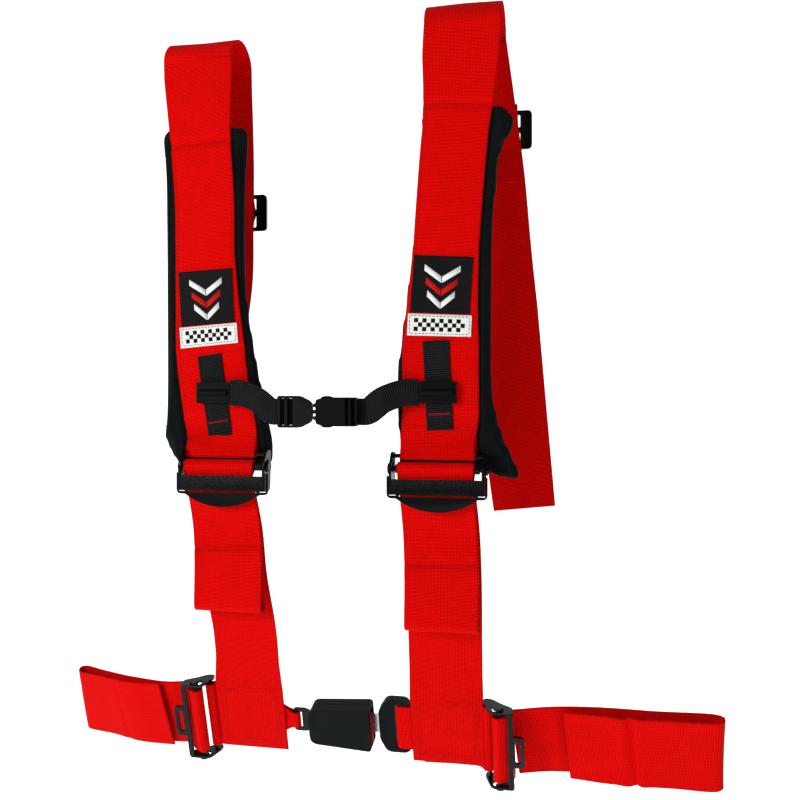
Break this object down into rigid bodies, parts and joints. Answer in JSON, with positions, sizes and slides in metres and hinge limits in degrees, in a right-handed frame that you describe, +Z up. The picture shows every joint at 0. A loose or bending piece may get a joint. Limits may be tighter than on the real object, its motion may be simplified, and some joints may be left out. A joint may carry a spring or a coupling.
{
  "type": "racing harness",
  "caption": "Four-point racing harness: wide webbing, padded shoulders, push-button lap latch, sternum buckle and tilt-lock adjusters.",
  "frame": {"origin": "on the axis of the harness bar, midway between the two shoulder loops", "axes": "+X along the bar from the left shoulder strap to the right one as seen from the front, -Y to the front, +Z up"},
  "size_m": [0.6753, 0.132, 0.7549],
  "materials": {
    "red_webbing": "woven polyester with fine cross ribs, satin",
    "black_webbing": "ribbed woven polyester, matt",
    "pad_fabric": "brushed nylon over foam, matt",
    "black_steel": "gloss black coating",
    "bare_steel": "bright plated",
    "black_plastic": "fine moulded texture",
    "red_plastic": "fine moulded texture",
    "label_black": "woven label",
    "label_white": "woven label"
  },
  "bodies": {
    "left_side": {"left_shoulder_webbing": "red_webbing", "left_shoulder_pad": "pad_fabric", "left_label": "label_black", "left_label_strip": "label_white", "left_keeper_strap": "black_webbing", "left_rear_slide": "black_steel", "left_lower_strap": "red_webbing", "left_strap_tail": "red_webbing", "left_lap_inner_webbing": "red_webbing", "latch_front_shell": "black_plastic", "latch_back_shell": "black_plastic", "latch_frame": "black_steel", "latch_spring": "bare_steel", "latch_loop_webbing": "red_webbing"},
    "right_side": {"right_shoulder_webbing": "red_webbing", "right_shoulder_pad": "pad_fabric", "right_label": "label_black", "right_label_strip": "label_white", "right_keeper_strap": "black_webbing", "right_rear_slide": "black_steel", "right_lower_strap": "red_webbing", "right_strap_tail": "red_webbing", "right_lap_inner_webbing": "red_webbing", "tongue_plate": "bare_steel", "tongue_cover": "black_plastic", "tongue_loop_webbing": "red_webbing"},
    "left_keeper": {"left_keeper_slider": "black_plastic", "left_sternum_strap": "black_webbing", "sternum_buckle_male": "black_plastic"},
    "right_keeper": {"right_keeper_slider": "black_plastic", "right_sternum_strap": "black_webbing", "sternum_buckle_female": "black_plastic"},
    "prong_upper": {"sternum_prong_upper": "black_plastic"},
    "prong_lower": {"sternum_prong_lower": "black_plastic"},
    "latch_button": {"latch_button": "red_plastic"},
    "latch_pawl": {"latch_pawl": "bare_steel"},
    "left_adjuster": {"left_adjuster_frame": "black_steel", "left_release_tab": "black_plastic"},
    "left_lock_bar": {"left_lock_bar": "black_steel", "left_webbing_roll": "red_webbing"},
    "left_lap_adjuster": {"left_lap_adjuster_frame": "black_steel"},
    "left_lap_lock_bar": {"left_lap_lock_bar": "black_steel", "left_lap_webbing_roll": "red_webbing"},
    "left_lap_belt": {"left_lap_belt": "red_webbing"},
    "right_adjuster": {"right_adjuster_frame": "black_steel", "right_release_tab": "black_plastic"},
    "right_lock_bar": {"right_lock_bar": "black_steel", "right_webbing_roll": "red_webbing"},
    "right_lap_adjuster": {"right_lap_adjuster_frame": "black_steel"},
    "right_lap_lock_bar": {"right_lap_lock_bar": "black_steel", "right_lap_webbing_roll": "red_webbing"},
    "right_lap_belt": {"right_lap_belt": "red_webbing"}
  },
  "joints": [
    {"name": "sides_apart", "type": "slide", "parent": "left_side", "child": "right_side", "axis": [1, 0, 0], "range_m": [0, 0.06]},
    {"name": "left_keeper_slide", "type": "slide", "parent": "left_side", "child": "left_keeper", "axis": [-0.1483, 0, 0.9889], "range_m": [-0.012, 0.012]},
    {"name": "right_keeper_slide", "type": "slide", "parent": "right_side", "child": "right_keeper", "axis": [-0.0481, 0, 0.9988], "range_m": [-0.012, 0.012]},
    {"name": "prong_upper_squeeze", "type": "hinge", "parent": "left_keeper", "child": "prong_upper", "pos_m": [-0.007, -0.045, -0.3432], "axis": [0, 1, 0], "range_deg": [0, 5], "stiffness_Nm_per_rad": 0.2},
    {"name": "prong_lower_squeeze", "type": "hinge", "parent": "left_keeper", "child": "prong_lower", "pos_m": [-0.007, -0.045, -0.3548], "axis": [0, 1, 0], "range_deg": [-5, 0]},
    {"name": "latch_button_press", "type": "slide", "parent": "left_side", "child": "latch_button", "axis": [-1, 0, 0], "range_m": [0, 0.004], "stiffness_N_per_m": 1500},
    {"name": "latch_pawl_lift", "type": "hinge", "parent": "left_side", "child": "latch_pawl", "pos_m": [-0.017, 0.01528, -0.66239], "axis": [0, 0.2756, -0.9613], "range_deg": [0, 6]},
    {"name": "left_adjuster_tilt", "type": "hinge", "parent": "left_side", "child": "left_adjuster", "pos_m": [-0.104, -0.037, -0.4015], "axis": [-1, 0, 0], "range_deg": [0, 25]},
    {"name": "left_lock_bar_lift", "type": "slide", "parent": "left_side", "child": "left_lock_bar", "axis": [0, 0, 1], "range_m": [0, 0.003]},
    {"name": "left_lap_adjuster_tilt", "type": "hinge", "parent": "left_side", "child": "left_lap_adjuster", "pos_m": [-0.147, 0.01135, -0.66248], "axis": [0, -0.2756, 0.9613], "range_deg": [0, 25]},
    {"name": "left_lap_lock_bar_shift", "type": "slide", "parent": "left_side", "child": "left_lap_lock_bar", "axis": [1, 0, 0], "range_m": [0, 0.003]},
    {"name": "left_lap_belt_swing", "type": "hinge", "parent": "left_side", "child": "left_lap_belt", "pos_m": [-0.147, 0.01135, -0.66248], "axis": [0, -0.2756, 0.9613], "range_deg": [-30, 20]},
    {"name": "right_adjuster_tilt", "type": "hinge", "parent": "right_side", "child": "right_adjuster", "pos_m": [0.1075, -0.037, -0.4015], "axis": [-1, 0, 0], "range_deg": [0, 25]},
    {"name": "right_lock_bar_lift", "type": "slide", "parent": "right_side", "child": "right_lock_bar", "axis": [0, 0, 1], "range_m": [0, 0.003]},
    {"name": "right_lap_adjuster_tilt", "type": "hinge", "parent": "right_side", "child": "right_lap_adjuster", "pos_m": [0.1605, 0.01135, -0.66248], "axis": [0, 0.2756, -0.9613], "range_deg": [0, 25]},
    {"name": "right_lap_lock_bar_shift", "type": "slide", "parent": "right_side", "child": "right_lap_lock_bar", "axis": [-1, 0, 0], "range_m": [0, 0.003]},
    {"name": "right_lap_belt_swing", "type": "hinge", "parent": "right_side", "child": "right_lap_belt", "pos_m": [0.1605, 0.01135, -0.66248], "axis": [0, 0.2756, -0.9613], "range_deg": [-30, 20]}
  ],
  "couplings": [
    {"joint": "right_keeper_slide", "follows": "left_keeper_slide", "ratio": 1},
    {"joint": "prong_lower_squeeze", "follows": "prong_upper_squeeze", "ratio": -1},
    {"joint": "latch_pawl_lift", "follows": "latch_button_press", "rad_per_m": 26.17}
  ]
}
